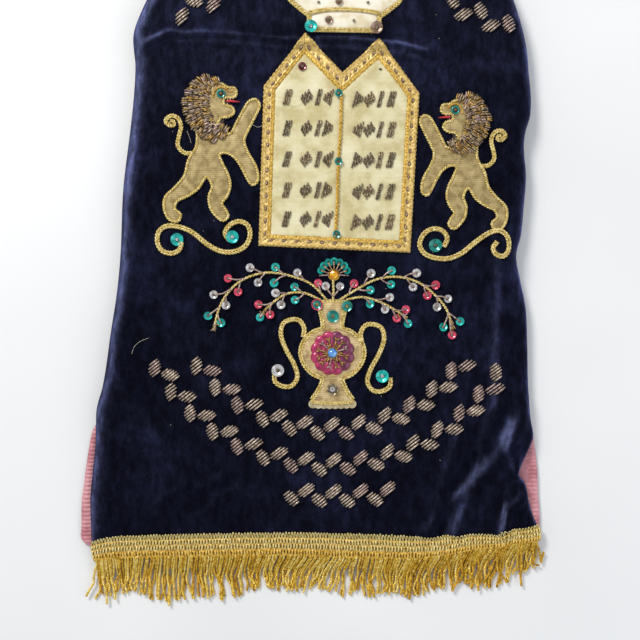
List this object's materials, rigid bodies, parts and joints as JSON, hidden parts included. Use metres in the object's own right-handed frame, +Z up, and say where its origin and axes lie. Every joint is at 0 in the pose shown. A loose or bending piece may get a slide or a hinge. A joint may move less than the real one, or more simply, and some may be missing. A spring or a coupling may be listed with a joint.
{
  "type": "torah mantle",
  "caption": "Velvet cover for a scroll, lying flat on its back, with applied satin and cord ornament, open side slits and a fringed hem.",
  "frame": {"origin": "middle of the footprint, on the surface it lies on", "axes": "+Y from the fringed hem to the top of the mantle, +X across it, +Z up, out of the front"},
  "size_m": [0.4408, 0.6448, 0.0378],
  "materials": {
    "velvet": "navy pile with a bluish sheen",
    "lining": "dusty pink plain weave, matt",
    "satin": "cream satin, soft gloss",
    "lame": "dull gold metallic cloth",
    "mane": "tarnished silver purl wire",
    "cord": "twisted pale gold metallic cord",
    "braid": "openwork gold metallic braid",
    "fringe": "twisted deep gold metallic thread",
    "rosette": "magenta foil over cloth, glossy"
  },
  "bodies": {
    "root": {"front_panel": "velvet", "back_panel": "velvet", "lining": "lining", "top_piece": "velvet", "hem_braid": "braid", "fringe": "fringe", "tablets_satin": "satin", "tablets_braid": "braid", "tablets_cord": "cord", "crown_satin": "satin", "crown_band": "satin", "crown_cord": "cord", "lion_left_body": "lame", "lion_left_face": "lame", "lion_left_mane": "mane", "lion_left_tail": "cord", "lion_left_scroll": "cord", "lion_right_body": "lame", "lion_right_face": "lame", "lion_right_mane": "mane", "lion_right_tail": "cord", "lion_right_scroll": "cord", "vase_body": "lame", "vase_rosette": "rosette", "vase_handle_left": "cord", "vase_handle_right": "cord", "spray_left_long": "cord", "spray_left_short": "cord", "spray_centre": "cord", "spray_right_short": "cord", "spray_right_long": "cord"}
  },
  "joints": []
}
